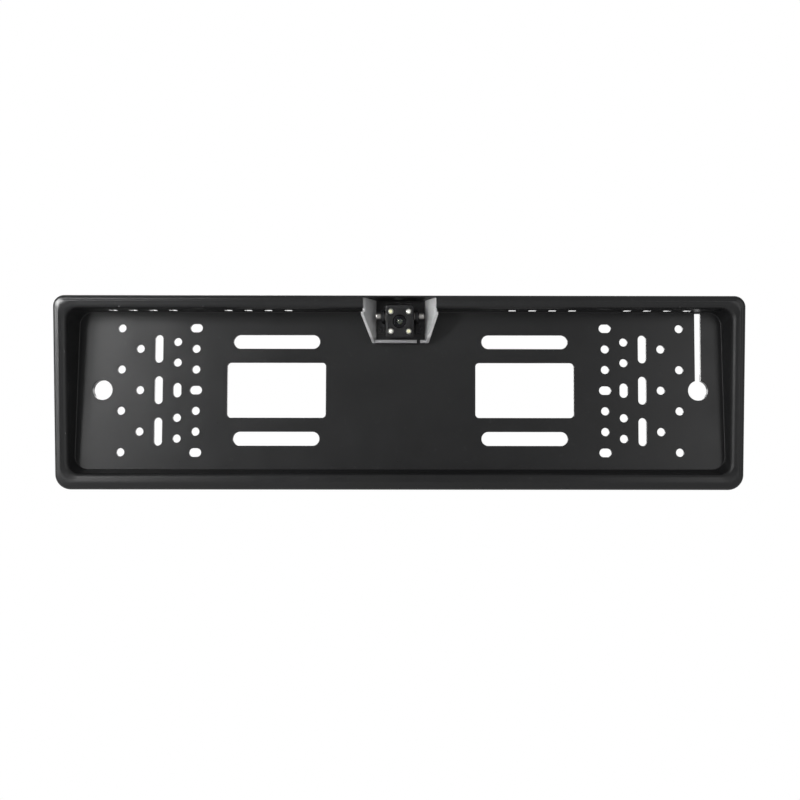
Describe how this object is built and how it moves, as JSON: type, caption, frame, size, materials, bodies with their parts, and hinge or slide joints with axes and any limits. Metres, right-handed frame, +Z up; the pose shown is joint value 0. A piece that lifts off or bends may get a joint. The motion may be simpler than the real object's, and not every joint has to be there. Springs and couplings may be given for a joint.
{
  "type": "number plate frame with reversing camera",
  "caption": "Black number plate frame, long single-line plate size, with a reversing camera in a silver-edged pod at top centre that tilts between two pivot screws.",
  "frame": {"origin": "centre of the back mounting plane, on the back of the central spacer pad", "axes": "+X to the right seen from the front, the front and the lens face -Y, +Z up"},
  "size_m": [0.545, 0.03, 0.153],
  "materials": {
    "frame_abs": "black moulded ABS, fine satin grain",
    "black_abs": "black moulded ABS, satin",
    "silver_paint": "silver-grey satin paint on a plastic trim",
    "nickel": "nickel-plated steel",
    "black_steel": "black-coated steel",
    "rubber": "matt black rubber",
    "cable_pvc": "black flexible PVC sheath",
    "led_white": "clear epoxy LED with a pale yellow phosphor",
    "glass": "coated optical glass",
    "ir_glass": "infrared-cut filter glass",
    "board_green": "green solder mask on fibreglass board",
    "board_white": "white solder mask on fibreglass board",
    "chip_black": "black moulding compound",
    "sensor": "image sensor under a glass lid",
    "anodised": "black anodised aluminium",
    "cream_nylon": "natural nylon",
    "brass": "gold-flashed brass"
  },
  "bodies": {
    "frame": {"plate_frame": "frame_abs", "camera_shroud": "black_abs", "camera_bezel": "silver_paint", "camera_bracket_left": "black_steel", "camera_bracket_right": "black_steel", "bracket_screw_left": "black_steel", "bracket_screw_right": "black_steel", "shroud_screw_left": "nickel", "shroud_screw_right": "nickel", "camera_lead": "cable_pvc", "lead_clip_1": "cream_nylon", "lead_clip_2": "cream_nylon", "lead_clip_3": "cream_nylon", "plug_boot": "rubber", "plug_housing": "black_abs", "plug_insert": "cream_nylon", "plug_pin_1": "brass", "plug_pin_2": "brass", "plug_pin_3": "brass", "plug_pin_4": "brass"},
    "camera": {"camera_front_housing": "black_abs", "camera_rear_housing": "black_abs", "housing_seal": "rubber", "led_upper_left": "led_white", "led_upper_right": "led_white", "led_lower_left": "led_white", "led_lower_right": "led_white", "lens_barrel": "anodised", "lens_retaining_ring": "anodised", "lens_front_element": "glass", "lens_second_element": "glass", "lens_rear_element": "glass", "lens_o_ring": "rubber", "lens_holder": "chip_black", "ir_filter": "ir_glass", "image_sensor": "sensor", "main_board": "board_green", "video_chip": "chip_black", "board_connector": "cream_nylon", "led_board": "board_white", "lead_grommet": "rubber", "camera_lead_tail": "cable_pvc", "pivot_washer_left": "nickel", "pivot_washer_right": "nickel"},
    "left_pivot_screw": {"pivot_screw_left": "nickel"},
    "right_pivot_screw": {"pivot_screw_right": "nickel"}
  },
  "joints": [
    {"name": "camera_tilt", "type": "hinge", "parent": "frame", "child": "camera", "pos_m": [0, -0.0203, 0.061], "axis": [1, 0, 0], "range_deg": [-12, 18]},
    {"name": "left_pivot_screw_turn", "type": "hinge", "parent": "camera", "child": "left_pivot_screw", "pos_m": [-0.0155, -0.0203, 0.061], "axis": [-1, 0, 0], "range_deg": [0, 360]},
    {"name": "right_pivot_screw_turn", "type": "hinge", "parent": "camera", "child": "right_pivot_screw", "pos_m": [0.0155, -0.0203, 0.061], "axis": [1, 0, 0], "range_deg": [0, 360]}
  ]
}
